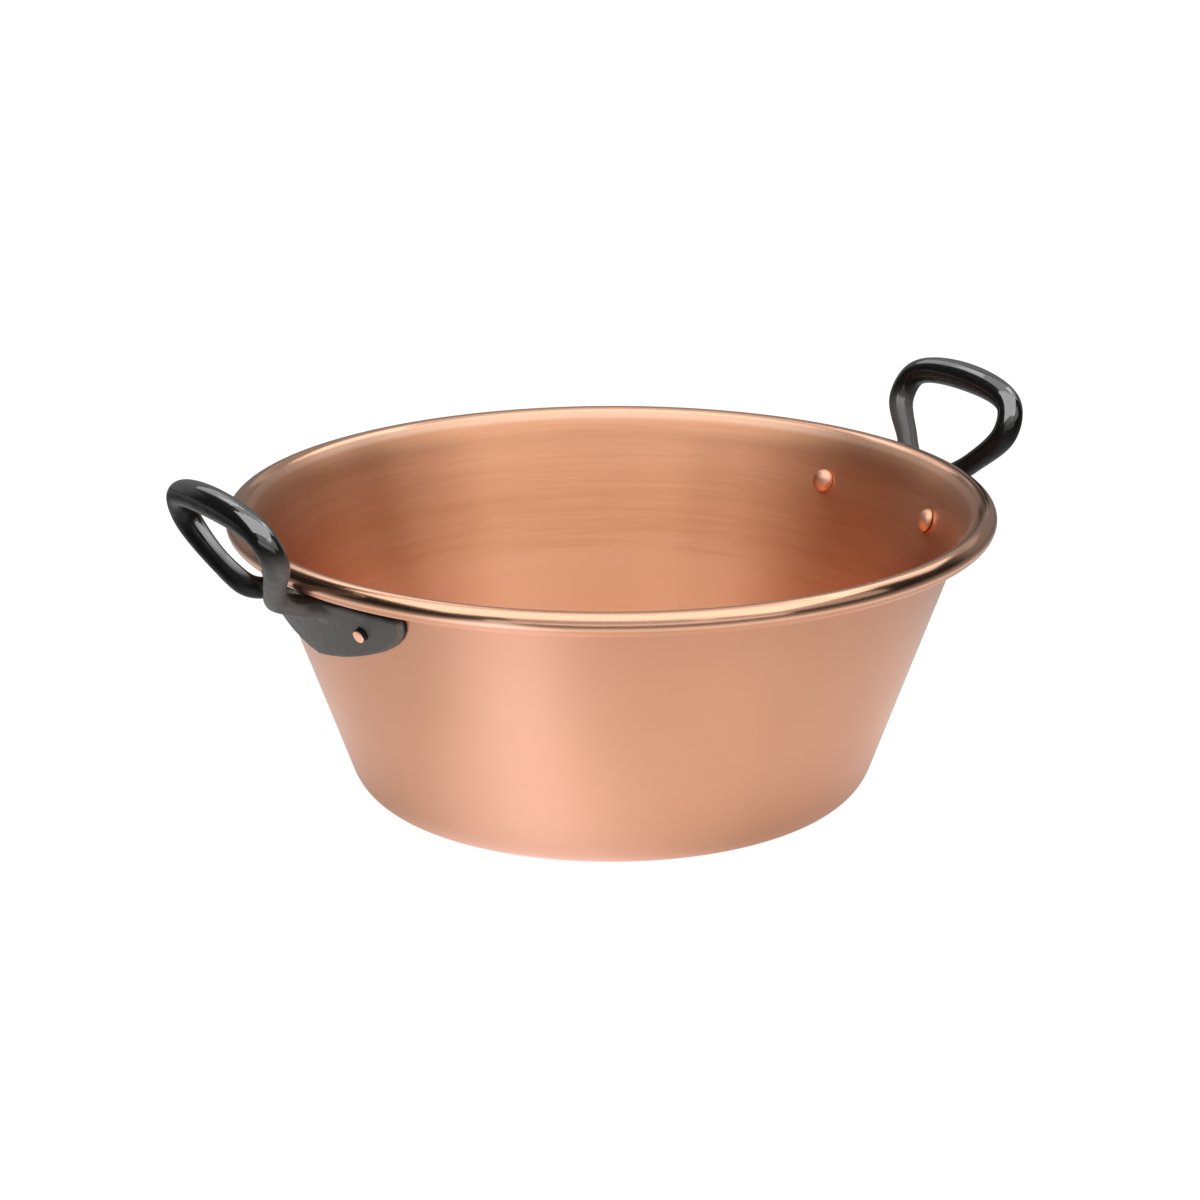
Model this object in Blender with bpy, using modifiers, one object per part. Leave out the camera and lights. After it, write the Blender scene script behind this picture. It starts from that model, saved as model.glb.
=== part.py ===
"""Copper preserving pan with two cast-iron loop handles, each held by two rivets.

The origin is the centre of the flat underside. Z points up and the handles lie along X.
All sizes are in metres.
"""

import math

import bmesh
import bpy
from mathutils import Matrix, Vector

# Pan, one spun sheet of copper
RIM_DIAMETER = 0.380
PAN_HEIGHT = 0.148
FOOT_DIAMETER = 0.249
BASE_CORNER_RADIUS = 0.0245
SHEET_THICKNESS = 0.0015
ROLL_DIAMETER = 0.0115
ROLL_OVERHANG = 0.008
FLARE_RADIUS = 0.029
ROLL_END_ANGLE = math.radians(-160)

# Strap of each handle, which follows the pan's wall
STRAP_LENGTH = 0.140
STRAP_DEPTH = 0.034
STRAP_THICKNESS = 0.005
STRAP_BELOW_ROLL = 0.0035
STRAP_TIP_POWER = 0.39
STRAP_BELLY_POWER = 1.15

# Loop of each handle, in the plane that leans away from the pan
LOOP_LEAN = math.radians(23.5)
LOOP_ROLL_GAP = 0.007
LOOP_DROP = 0.0145
LOOP_HEIGHT = 0.0677
LOOP_CORNER_HEIGHT = 0.0605
LOOP_CORNER_SPREAD = 0.0401
LOOP_WIDEST_HEIGHT = 0.0463
LOOP_WIDEST_SPREAD = 0.0441
LOOP_LEG_HEIGHT = 0.0267
LOOP_LEG_SPREAD = 0.0277
LOOP_ELBOW_HEIGHT = 0.0153
LOOP_ELBOW_INSET = 0.004
LOOP_ELBOW_SPREAD = 0.0155
LOOP_ROOT_SPREAD = 0.020
LOOP_ROOT_DROP = 0.0042
GRIP_DIAMETER = 0.0146
CORNER_DIAMETER = 0.0130
LEG_DIAMETER = 0.0108
NECK_DIAMETER = 0.0108

# Rivets
RIVET_INSET = 0.0245
RIVET_DROP = 0.0106
SHANK_DIAMETER = 0.0066
RIVET_HEAD_DIAMETER = 0.0120
RIVET_HEAD_HEIGHT = 0.0038
RIVET_STUB = 0.0032
RIVET_CHAMFER = 0.0005

# Clearances
SEAT_GAP = 0.0003
HOLE_CLEARANCE = 0.0003

# Fineness of the curved faces
PAN_STEPS = 72
STRAP_STEPS = 24
STRAP_SECTOR_MARGIN = math.radians(4)
OUTLINE_POINTS = 16
RIVET_STEPS = 24
LOOP_POINTS_PER_SPAN = 4
CUTTER_LENGTH = 0.060
MERGE_DISTANCE = 0.00001

# Sizes that follow from those above
ROLL_RADIUS = ROLL_DIAMETER / 2
ROLL_CENTRE = Vector((RIM_DIAMETER / 2 - ROLL_RADIUS, PAN_HEIGHT - ROLL_RADIUS))
FOOT_RADIUS = FOOT_DIAMETER / 2
WALL_ANGLE = math.atan2(ROLL_CENTRE.x - ROLL_OVERHANG - FOOT_RADIUS, ROLL_CENTRE.y)
STRAP_TOP = PAN_HEIGHT - ROLL_DIAMETER - STRAP_BELOW_ROLL
STRAP_OFFSET = (SEAT_GAP + STRAP_THICKNESS / 2) / math.cos(WALL_ANGLE)
ROOT_LEVEL = STRAP_TOP - LOOP_ROOT_DROP
LOOP_LEVEL = STRAP_TOP - LOOP_DROP
RIVET_LEVEL = STRAP_TOP - RIVET_DROP


def wall_radius(height):
    """Radius of the wall's outer face at a height above the table."""
    return FOOT_RADIUS + height * math.tan(WALL_ANGLE)


RIVET_AZIMUTH = math.asin((STRAP_LENGTH / 2 - RIVET_INSET) / wall_radius(RIVET_LEVEL))


def collection(name):
    """A new collection in the scene."""
    made = bpy.data.collections.new(name)
    bpy.context.scene.collection.children.link(made)
    return made


def material(name, colour, roughness, metallic):
    """A Principled material."""
    made = bpy.data.materials.new(name)
    made.use_nodes = True
    shader = made.node_tree.nodes["Principled BSDF"]
    shader.inputs["Base Color"].default_value = (*colour, 1)
    shader.inputs["Roughness"].default_value = roughness
    shader.inputs["Metallic"].default_value = metallic
    return made


def line_object(name, points, group):
    """A mesh of edges through points, each a radius and a height, in the XZ plane."""
    mesh = bpy.data.meshes.new(name)
    edges = [(i, i + 1) for i in range(len(points) - 1)]
    mesh.from_pydata([(p[0], 0, p[1]) for p in points], edges, [])
    made = bpy.data.objects.new(name, mesh)
    group.objects.link(made)
    return made


def turn(thing, steps, angle=2 * math.pi):
    """Turns the object's profile about its Z axis."""
    screw = thing.modifiers.new("Turned", "SCREW")
    screw.axis = "Z"
    screw.angle = angle
    screw.steps = steps
    screw.render_steps = steps
    screw.use_merge_vertices = True
    screw.merge_threshold = MERGE_DISTANCE


def thicken(thing, thickness):
    """Gives a surface its thickness, half to each side."""
    shell = thing.modifiers.new("Thickness", "SOLIDIFY")
    shell.thickness = thickness
    shell.offset = 0
    shell.use_even_offset = True


def combine(thing, operation, other):
    """A Boolean of the object with one other object."""
    boolean = thing.modifiers.new(operation.title(), "BOOLEAN")
    boolean.operation = operation
    boolean.solver = "EXACT"
    boolean.object = other


def cut_with_group(thing, group):
    """Takes every cutter of a collection out of the object."""
    boolean = thing.modifiers.new("Rivet holes", "BOOLEAN")
    boolean.operation = "DIFFERENCE"
    boolean.solver = "EXACT"
    boolean.operand_type = "COLLECTION"
    boolean.collection = group


def hide_cutter(cutter):
    """Marks an object as a tool that only shapes others."""
    cutter.hide_render = True
    cutter.display_type = "WIRE"


def evaluated_mesh(thing):
    """The object's mesh with its modifiers applied and its caps welded."""
    bpy.context.view_layer.update()
    graph = bpy.context.evaluated_depsgraph_get()
    mesh = bpy.data.meshes.new_from_object(thing.evaluated_get(graph))
    work = bmesh.new()
    work.from_mesh(mesh)
    bmesh.ops.remove_doubles(work, verts=work.verts, dist=MERGE_DISTANCE)
    work.to_mesh(mesh)
    work.free()
    return mesh


def curve_to_cutter(curve_object, name, group):
    """Swaps a curve object for the closed mesh that it makes."""
    made = bpy.data.objects.new(name, evaluated_mesh(curve_object))
    made.matrix_world = curve_object.matrix_world
    group.objects.link(made)
    bpy.data.objects.remove(curve_object)
    hide_cutter(made)
    return made


def smooth(mesh):
    """Round faces shade smooth, and corners stay sharp."""
    mesh.shade_smooth()
    mesh.set_sharp_from_angle(angle=math.radians(35))


def arc(centre, radius, start, end, steps):
    """Points on a circle's arc in the profile's plane, ends included."""
    turns = [start + (end - start) * i / steps for i in range(steps + 1)]
    return [centre + radius * Vector((math.cos(a), math.sin(a))) for a in turns]


def pan_profile():
    """Middle line of the sheet, from the roll's free edge to the centre of the base."""
    half = SHEET_THICKNESS / 2
    roll = ROLL_RADIUS - half
    along_wall = math.pi - WALL_ANGLE
    to_wall = ROLL_OVERHANG * math.cos(WALL_ANGLE) + half
    roll_start = along_wall - math.acos((FLARE_RADIUS - to_wall) / (FLARE_RADIUS - roll))
    reach = FLARE_RADIUS - roll
    flare_centre = ROLL_CENTRE - reach * Vector((math.cos(roll_start), math.sin(roll_start)))
    corner_centre = Vector(
        (
            wall_radius(BASE_CORNER_RADIUS) - BASE_CORNER_RADIUS / math.cos(WALL_ANGLE),
            BASE_CORNER_RADIUS,
        )
    )
    corner = BASE_CORNER_RADIUS - half
    points = arc(ROLL_CENTRE, roll, ROLL_END_ANGLE, roll_start, 13)
    points += arc(flare_centre, FLARE_RADIUS, roll_start, along_wall, 3)[1:]
    points += arc(corner_centre, corner, -WALL_ANGLE, -math.pi / 2, 6)
    return points + [Vector((0, half))]


def make_pan(group, holes, copper):
    """The spun bowl with its flared wall and its rolled rim, which stays open underneath."""
    pan = line_object("pan_body", pan_profile(), group)
    turn(pan, PAN_STEPS)
    thicken(pan, SHEET_THICKNESS)
    cut_with_group(pan, holes)
    pan.data.materials.append(copper)
    return pan


def strap_outline():
    """Outline of the strap seen from outside: a level top and a belly that curves up to the tips."""
    half = STRAP_LENGTH / 2
    lower = []
    for i in range(OUTLINE_POINTS + 1):
        share = math.sin(math.pi / 2 * i / OUTLINE_POINTS)
        depth = STRAP_DEPTH * (1 - share**STRAP_BELLY_POWER) ** STRAP_TIP_POWER
        lower.append((half * share, STRAP_TOP - depth))
    return [(-x, z) for x, z in reversed(lower)] + lower[1:]


def make_outline_prism(group):
    """The strap's outline as a long prism along X."""
    curve = bpy.data.curves.new("strap_outline", "CURVE")
    curve.dimensions = "2D"
    curve.fill_mode = "BOTH"
    curve.extrude = CUTTER_LENGTH
    spline = curve.splines.new("POLY")
    outline = strap_outline()
    spline.points.add(len(outline) - 1)
    for point, (across, height) in zip(spline.points, outline):
        point.co = (across, height, 0, 1)
    spline.use_cyclic_u = True
    flat = bpy.data.objects.new("strap_outline", curve)
    flat.location = (wall_radius(STRAP_TOP), 0, 0)
    flat.rotation_euler = (math.pi / 2, 0, math.pi / 2)
    group.objects.link(flat)
    bpy.context.view_layer.update()
    return curve_to_cutter(flat, "strap_prism", group)


def loop_plane_point(spread, height):
    """A point of the loop's leaning plane, by its distance from the middle and along the plane."""
    roll_height = (ROLL_CENTRE.y - LOOP_LEVEL) / math.cos(LOOP_LEAN)
    roll_radius = RIM_DIAMETER / 2 + LOOP_ROLL_GAP + LEG_DIAMETER / 2
    outward = roll_radius + (height - roll_height) * math.sin(LOOP_LEAN)
    return Vector((outward, spread, LOOP_LEVEL + height * math.cos(LOOP_LEAN)))


def loop_stations():
    """Points of the loop's middle line with their diameters, from one root to the other."""
    root = Vector((wall_radius(ROOT_LEVEL) + STRAP_OFFSET, LOOP_ROOT_SPREAD, ROOT_LEVEL))
    elbow = loop_plane_point(LOOP_ELBOW_SPREAD, LOOP_ELBOW_HEIGHT)
    elbow.x -= LOOP_ELBOW_INSET
    neck = root.lerp(elbow, 0.5)
    neck.z = root.z
    half = [
        (root, NECK_DIAMETER),
        (neck, NECK_DIAMETER),
        (elbow, NECK_DIAMETER),
        (loop_plane_point(LOOP_LEG_SPREAD, LOOP_LEG_HEIGHT), LEG_DIAMETER),
        (loop_plane_point(LOOP_WIDEST_SPREAD, LOOP_WIDEST_HEIGHT), CORNER_DIAMETER),
        (loop_plane_point(LOOP_CORNER_SPREAD, LOOP_CORNER_HEIGHT), CORNER_DIAMETER),
    ]
    top = (loop_plane_point(0, LOOP_HEIGHT), GRIP_DIAMETER)
    other = [(Vector((p.x, -p.y, p.z)), d) for p, d in reversed(half)]
    return half + [top] + other


def smooth_path(stations, steps):
    """A centripetal Catmull-Rom curve through the stations, with the diameters carried along."""
    rows = [Vector((*p, d)) for p, d in stations]
    rows = [2 * rows[0] - rows[1]] + rows + [2 * rows[-1] - rows[-2]]
    path = []
    for a, b, c, d in zip(rows, rows[1:], rows[2:], rows[3:]):
        knots = [0.0]
        for p, q in ((a, b), (b, c), (c, d)):
            knots.append(knots[-1] + math.sqrt((q - p).length))
        t0, t1, t2, t3 = knots
        for i in range(steps):
            t = t1 + (t2 - t1) * i / steps
            ab = a.lerp(b, (t - t0) / (t1 - t0))
            bc = b.lerp(c, (t - t1) / (t2 - t1))
            cd = c.lerp(d, (t - t2) / (t3 - t2))
            abc = ab.lerp(bc, (t - t0) / (t2 - t0))
            bcd = bc.lerp(cd, (t - t1) / (t3 - t1))
            path.append(abc.lerp(bcd, (t - t1) / (t2 - t1)))
    return path + [rows[-2]]


def make_loop(group):
    """The loop as a solid bar that swells towards the grip."""
    path = smooth_path(loop_stations(), LOOP_POINTS_PER_SPAN)
    curve = bpy.data.curves.new("loop_path", "CURVE")
    curve.dimensions = "3D"
    curve.bevel_depth = GRIP_DIAMETER / 2
    curve.bevel_resolution = 4
    curve.use_fill_caps = True
    spline = curve.splines.new("POLY")
    spline.points.add(len(path) - 1)
    for point, row in zip(spline.points, path):
        point.co = (row[0], row[1], row[2], 1)
        point.radius = row[3] / GRIP_DIAMETER
    bar = bpy.data.objects.new("loop_path", curve)
    group.objects.link(bar)
    return curve_to_cutter(bar, "loop_bar", group)


def handle_mesh(tools, holes, iron):
    """One casting, with the strap and the loop joined and the rivet holes through it."""
    top = STRAP_TOP + STRAP_THICKNESS
    bottom = STRAP_TOP - STRAP_DEPTH - STRAP_THICKNESS
    half_sector = math.asin(STRAP_LENGTH / 2 / wall_radius(bottom)) + STRAP_SECTOR_MARGIN
    ends = [(wall_radius(z) + STRAP_OFFSET, z) for z in (top, bottom)]
    strap = line_object("strap", ends, tools)
    strap.data.transform(Matrix.Rotation(-half_sector, 4, "Z"))
    hide_cutter(strap)
    turn(strap, STRAP_STEPS, 2 * half_sector)
    thicken(strap, STRAP_THICKNESS)
    combine(strap, "INTERSECT", make_outline_prism(tools))
    combine(strap, "UNION", make_loop(tools))
    cut_with_group(strap, holes)
    mesh = evaluated_mesh(strap)
    mesh.name = "handle_casting"
    mesh.materials.clear()
    mesh.materials.append(iron)
    smooth(mesh)
    return mesh


def rivet_places():
    """Name, azimuth and matrix of each rivet, whose Z points out of the wall."""
    places = []
    for side, turned in (("right", 0), ("left", math.pi)):
        for end, sign in (("near", -1), ("far", 1)):
            flip = 1 if turned == 0 else -1
            azimuth = turned + sign * flip * RIVET_AZIMUTH
            radius = wall_radius(RIVET_LEVEL)
            seat = Vector((radius * math.cos(azimuth), radius * math.sin(azimuth), RIVET_LEVEL))
            places.append((f"rivet_{side}_{end}", seat, azimuth))
    return places


def put_on_wall(thing, seat, azimuth):
    """Places an object on the wall with its Z axis along the wall's outward normal."""
    thing.location = seat
    thing.rotation_euler = (0, math.pi / 2 + WALL_ANGLE, azimuth)


def make_rivet_holes(group):
    """One straight cutter for each rivet, through the wall and the strap."""
    radius = SHANK_DIAMETER / 2 + HOLE_CLEARANCE
    ends = [(0, CUTTER_LENGTH / 2), (radius, CUTTER_LENGTH / 2)]
    ends += [(radius, -CUTTER_LENGTH / 2), (0, -CUTTER_LENGTH / 2)]
    for name, seat, azimuth in rivet_places():
        cutter = line_object(name + "_hole", ends, group)
        turn(cutter, RIVET_STEPS)
        put_on_wall(cutter, seat, azimuth)
        hide_cutter(cutter)


def rivet_profile():
    """Outline of a rivet from its outer end down to the middle of its domed inner head."""
    shank = SHANK_DIAMETER / 2
    head = RIVET_HEAD_DIAMETER / 2
    end = SEAT_GAP + STRAP_THICKNESS + RIVET_STUB
    hollow = head**2 / (2 * wall_radius(RIVET_LEVEL))
    facet = wall_radius(RIVET_LEVEL) * (1 - math.cos(math.pi / PAN_STEPS))
    under = -SHEET_THICKNESS - SEAT_GAP - hollow - facet
    points = [(0, end), (shank - RIVET_CHAMFER, end), (shank, end - RIVET_CHAMFER)]
    points += [(shank, under), (head, under)]
    for i in range(1, 6):
        turned = math.pi / 2 * i / 5
        points.append((head * math.cos(turned), under - RIVET_HEAD_HEIGHT * math.sin(turned)))
    points[-1] = (0, under - RIVET_HEAD_HEIGHT)
    return points


def make_rivets(group, copper):
    """Four rivets, each its own object, with one shape between them."""
    pattern = line_object("rivet_pattern", rivet_profile(), group)
    turn(pattern, RIVET_STEPS)
    mesh = evaluated_mesh(pattern)
    bpy.data.objects.remove(pattern)
    mesh.name = "rivet"
    mesh.materials.append(copper)
    smooth(mesh)
    for name, seat, azimuth in rivet_places():
        rivet = bpy.data.objects.new(name, mesh)
        put_on_wall(rivet, seat, azimuth)
        group.objects.link(rivet)


def main():
    for thing in list(bpy.data.objects):
        bpy.data.objects.remove(thing)
    parts = collection("preserving_pan")
    tools = collection("shaping_tools")
    holes = collection("rivet_hole_cutters")
    copper = material("satin_copper", (0.75, 0.36, 0.22), 0.32, 1.0)
    rivet_copper = material("rivet_copper", (0.72, 0.33, 0.20), 0.28, 1.0)
    iron = material("black_cast_iron", (0.02, 0.019, 0.018), 0.35, 0.0)
    make_rivet_holes(holes)
    make_pan(parts, holes, copper)
    casting = handle_mesh(tools, holes, iron)
    for name, turned in (("handle_right", 0), ("handle_left", math.pi)):
        handle = bpy.data.objects.new(name, casting)
        handle.rotation_euler = (0, 0, turned)
        parts.objects.link(handle)
    make_rivets(parts, rivet_copper)


main()
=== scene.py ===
"""Looks of a copper preserving pan: satin copper with a polished rim, and black cast-iron handles.

The pan, the two handle castings and the rivets are modelled again, finer than the solids they
stand for and from the same sizes. Everything is in metres, with Z up and the handles along X.
"""

import math

import bmesh
import bpy
from mathutils import Matrix, Vector


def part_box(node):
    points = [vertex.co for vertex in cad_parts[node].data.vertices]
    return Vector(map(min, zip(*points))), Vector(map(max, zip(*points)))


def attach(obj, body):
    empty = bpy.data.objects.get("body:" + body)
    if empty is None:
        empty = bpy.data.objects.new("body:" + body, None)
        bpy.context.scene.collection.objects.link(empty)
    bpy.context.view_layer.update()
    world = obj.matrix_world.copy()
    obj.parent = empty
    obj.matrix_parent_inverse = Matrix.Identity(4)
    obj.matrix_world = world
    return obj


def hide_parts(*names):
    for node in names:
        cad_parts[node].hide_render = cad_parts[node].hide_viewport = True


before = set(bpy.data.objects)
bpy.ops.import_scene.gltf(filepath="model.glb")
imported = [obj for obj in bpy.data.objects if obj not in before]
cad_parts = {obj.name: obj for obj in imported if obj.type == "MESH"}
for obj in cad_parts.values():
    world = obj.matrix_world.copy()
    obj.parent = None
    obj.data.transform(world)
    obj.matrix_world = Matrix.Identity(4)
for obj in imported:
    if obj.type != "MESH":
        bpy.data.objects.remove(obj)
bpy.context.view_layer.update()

# Pan, one spun sheet of copper
RIM_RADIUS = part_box("pan_body")[1].x
PAN_HEIGHT = 0.148
FOOT_RADIUS = 0.1245
BASE_CORNER_RADIUS = 0.0245
SHEET_THICKNESS = 0.0015
ROLL_RADIUS = 0.00575
ROLL_OVERHANG = 0.008
FLARE_RADIUS = 0.029
ROLL_END_ANGLE = math.radians(-160)

# Handle castings
STRAP_LENGTH = 0.140
STRAP_DEPTH = 0.034
STRAP_THICKNESS = 0.005
STRAP_BELOW_ROLL = 0.0035
STRAP_TIP_POWER = 0.39
STRAP_BELLY_POWER = 1.15
STRAP_ROUNDING_LOSS = 0.0013
LOOP_LEAN = math.radians(23.5)
LOOP_ROLL_GAP = 0.007
LOOP_DROP = 0.0145
LOOP_HEIGHT = 0.0676
LOOP_CORNER_HEIGHT = 0.0605
LOOP_CORNER_SPREAD = 0.0401
LOOP_WIDEST_HEIGHT = 0.0463
LOOP_WIDEST_SPREAD = 0.0441
LOOP_LEG_HEIGHT = 0.0267
LOOP_LEG_SPREAD = 0.0277
LOOP_ELBOW_HEIGHT = 0.0153
LOOP_ELBOW_INSET = 0.004
LOOP_ELBOW_SPREAD = 0.0155
LOOP_ROOT_SPREAD = 0.020
LOOP_ROOT_DROP = 0.0042
LOOP_ROOT_INSET = 0.005
GRIP_DIAMETER = 0.0146
CORNER_DIAMETER = 0.0130
LEG_DIAMETER = 0.0108
NECK_DIAMETER = 0.0118
ROOT_DIAMETER = 0.0165

# Rivets
RIVET_INSET = 0.0245
RIVET_DROP = 0.0106
SHANK_RADIUS = 0.0033
RIVET_HEAD_RADIUS = 0.0060
RIVET_HEAD_HEIGHT = 0.0038
RIVET_HEAD_EDGE_INSET = 0.0003
RIVET_HEAD_EDGE_HEIGHT = 0.0002
RIVET_STUB = 0.0032
RIVET_CHAMFER = 0.0005
RIVET_DENTS = 0.0003
RIVET_DENT_SCALE = 260.0
RIVET_SEED = 4
SEAT_GAP = 0.0003
HOLE_CLEARANCE = 0.0003

# Fineness of the meshes, with the wall's extra rows and the base's rings as shares of its radius
PAN_STEPS = 256
ROLL_STEPS = 36
FLARE_STEPS = 10
CORNER_STEPS = 18
BASE_RINGS = (0.75, 0.5, 0.25)
HOLE_BAND = 0.0042
MID_WALL_HEIGHT = 0.08
STRAP_STEPS = 96
STRAP_ROWS = 24
OUTLINE_POINTS = 48
LOOP_POINTS_PER_SPAN = 14
LOOP_SIDES = 40
RIVET_STEPS = 48
CHAMFER_STEPS = 4
HEAD_STEPS = 12
CASTING_VOXEL = 0.0006
MERGE_DISTANCE = 0.00001

# Cutters, longer than what they cut, and the spare width of the plate that they cut
HOLE_LENGTH = 0.03
PRISM_START = 0.10
PRISM_LENGTH = 0.15
STRAP_SPARE_ANGLE = math.radians(4)

# Rounding of the castings: the distance where it ends, the length that it fades over, its rounds
FEET_ROUNDED = (0.019, 0.007)
STRAP_ROUNDED = (0.009, 0.002)
ROUNDS = (("", 8), ("strap", 8), ("feet", 180))
ROUND_FACTOR = 0.5

# Camera, as the photograph has it
VIEW_TURN = math.radians(32.6)
VIEW_ELEVATION = math.radians(17.33)
VIEW_DISTANCE = 1.995
VIEW_YAW = math.radians(0.171)
VIEW_ROLL = math.radians(0.164)
VIEW_TARGET_HEIGHT = 0.0963
VIEW_REACH = 50
LENS_MM = 120.23
SENSOR_MM = 36

# Colours
COPPER = (0.93, 0.485, 0.305)
# Worn copper outside, which also serves as the painted shade on the lip under the roll
COPPER_WORN_AND_PAINTED_SHADE = (0.85, 0.41, 0.24)
COPPER_RIM = (0.88, 0.50, 0.335)
# Pale copper. On the lip inside, its paleness is a painted highlight of the lit band below the rim; the
# rivets take it as a plain paler tone
COPPER_LIP = (0.94, 0.59, 0.42)
# Darker copper just below the lip inside: painted shade
COPPER_PAINTED_SHADE = (0.66, 0.32, 0.18)
COPPER_INSIDE = (0.91, 0.50, 0.31)
COPPER_INSIDE_WORN = (0.80, 0.40, 0.225)
# Black iron. The painted shade on the iron and on the rivets' stubs takes this colour too
IRON_AND_PAINTED_SHADE = (0.006, 0.0055, 0.005)
IRON_BARE = (0.225, 0.212, 0.195)
FLOOR = (0.8, 0.8, 0.8)
WHITE = (1, 1, 1)
COOL = (0.9, 0.99, 1.15)

# Grain of each finish: scale, detail and roughness of its noise
PATCHES = (14, 2, 0.5)
RIVET_DIMPLES = (420, 2, 0.5)
FINE_GRAIN = (900, 3, 0.6)
LUMPS = (170, 2, 0.5)

# Rings of the spun copper: turns, pitch, detail and roughness
FINE_RINGS = (4, 0.0007, 4, 0.6)
BROAD_RINGS = (1.6, 0.006, 3, 0.55)

# Where the copper's finish, and its painted light and shade, change, each from a start to an end
INSIDE_FACING = (-0.2, 0.2)
POLISH_RADII = (0.1796, 0.1804)
POLISH_HEIGHTS = (0.1395, 0.1415)
LIP_RADII = (0.1762, 0.1784)
# Heights of the painted shade just below the lip inside
PAINTED_SHADE_HEIGHTS = (0.128, 0.138)
# Inside, a band at mid height is darker than above and below it
DARK_BAND_FOOT = (0.07, 0.09)
DARK_BAND_TOP = (0.105, 0.125)
# Inside, the copper is paler towards the bottom: painted light
PAINTED_FOOT_LIGHT_HEIGHTS = (0.04, 0.10)

# How far the copper's finish, and its painted light and shade, change there
OUTSIDE_CONTRAST = 0.12
FINE_WEAR = 1.3
PATCH_WEAR = 0.3
BAND_DARKENING = 0.3
BAND_MEAN = 0.4
# Painted light: how much paler the copper is towards the bottom inside
PAINTED_FOOT_LIGHT = 0.7
# On the lip outside, under the roll, the copper is darker: painted shade
LIP_PAINTED_SHADE = 0.4
PAINTED_SHADE_SHARE = 0.4
SATIN_ROUGHNESS = 0.48
INSIDE_SMOOTHER = 0.06
POLISH_SMOOTHER = 0.3
RING_ROUGHNESS = 0.10
PATCH_ROUGHNESS = 0.04
RING_DEPTH = 0.000012

# Finish of the rivets: painted shade round the stub's side, by distance from the wall and from the
# stub's end
STUB_PAINTED_SHADE_START = (0.003, 0.004)
STUB_CLEAN_END = (0.0006, 0.0002)
RIVET_ROUGHNESS = 0.4
RIVET_WEAR_ROUGHNESS = 0.12
DIMPLE_DEPTH = 0.00012

# Where the iron's finish and its painted light and shade change, from a start to an end, by distance
# from the wall if not named
# SIDE_FACING picks faces turned along the wall, such as the strap's ends, where bare iron is paler as a
# painted highlight
SIDE_FACING = (0.25, 0.8)
HANDLED_FACING = (-0.05, 0.4)
HANDLED_HEIGHT = 0.175
HANDLED_RISE = 18
# Painted shade, dark iron without the coat: behind the strap, along its top under the roll, round the
# loop's feet and on the ledge near the wall
GAP_PAINTED_SHADE = (0.0012, 0.0026)
TOP_PAINTED_SHADE_DEPTHS = (0.0042, 0.0012)
FOOT_PAINTED_SHADE_DEPTH = 0.006
FOOT_PAINTED_SHADE = (0.005, 0.0075)
PAINTED_SHADE_REACH = (0.011, 0.016)
LEDGE_FACING = (0.1, 0.5)
LEDGE_REACH = (0.016, 0.024)
BARE_REACH = (0.012, 0.020)
WORN_LEG_SIDE = (0.0, 0.0006)
WORN_LEG_HEIGHTS = (0.156, 0.170)
PIT_SCALE = 230
PIT_EDGE = (0.05, 0.16)

# How far the iron's finish and its painted light and shade change there
# Shares of the painted shade at the loop's feet and over the bare iron
FOOT_PAINTED_SHADE_SHARE = 0.8
PAINTED_SHADE_COVER = 0.75
WORN_LEG_SHARE = 0.8
BARE_SHARE = 0.5
BARE_GRAIN_SHARE = 0.25
# Paler bare iron on faces turned along the wall: a painted highlight
END_PAINTED_LIGHT_SHARE = 0.3
IRON_ROUGHNESS = 0.38
BARE_ROUGHNESS = 0.12
GRAIN_ROUGHNESS = 0.08
PIT_DEPTH = 0.00018
LUMP_DEPTH = 0.0006
GRAIN_DEPTH = 0.0001

# Floor: what the camera sees, and the lit table that the metal shows. Ahead is towards the camera
FLOOR_HALF_SIZE = 6
FLOOR_GLOW = 1.2
FAR_FLOOR_GLOW = 0.1
FAR_FLOOR_REACH = (0.8, 2.5)
FLOOR_GLOW_SHARE = 0.8
TABLE_GLOW = 1.27
UNDER_SHADE = 0.55
NEAR_FADE = 0.7
NEAR_FADE_LESS = 0.05
NEAR_FADE_AHEAD = (-0.1, 0.2)
NEAR_FADE_REACH = (0.29, 0.49)
FAR_FADE = 0.75
FAR_FADE_MORE = 0.2
FAR_FADE_AHEAD = (-0.3, 0.3)
FAR_FADE_REACH = (0.48, 0.68)

# A brighter patch of the table, which runs ahead of the pan to the left and widens as it goes
PATCH_ASIDE = 0.045
PATCH_AHEAD = 0.144
PATCH_TURN = math.radians(32)
PATCH_GLOW = 0.95
PATCH_OPENING = 0.85
PATCH_NEAR_EDGE = (-0.15, 0.0)
PATCH_FAR_EDGE = (0.0, 0.1)
PATCH_START = (0.0, 0.05)

# Room
ROOM_LIGHT = 0.015
SWEEP_GLOW = 0.2
SWEEP_BEHIND = (0.45, 0.7)
SWEEP_TOP = (0.35, 0.5)

# Soft boxes: name, azimuth and elevation in degrees, distance, width, height and brightness
LIGHT_TARGET_HEIGHT = 0.1
SOFT_BOXES = (
    ("overhead", 0, 76, 1.6, 3.3, 2.07, 1.52),
    ("overhead_back", 180, 57, 1.83, 1.9, 0.88, 0.75),
    ("overhead_back_right", 134, 45, 2.1, 1.1, 0.95, 1.1),
    ("back_left", -153, 38, 2.2, 1.0, 0.9, 0.9),
    ("back", 163, 33, 2.4, 2.2, 0.9, 0.3),
    ("front", 0, 28, 2.4, 2.4, 1.2, 0.44),
    ("front_right", 57, 28, 2.4, 2.5, 1.2, 0.46),
    ("front_strip", 8, 8.5, 2.4, 4.4, 0.5, 1.15),
)

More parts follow.
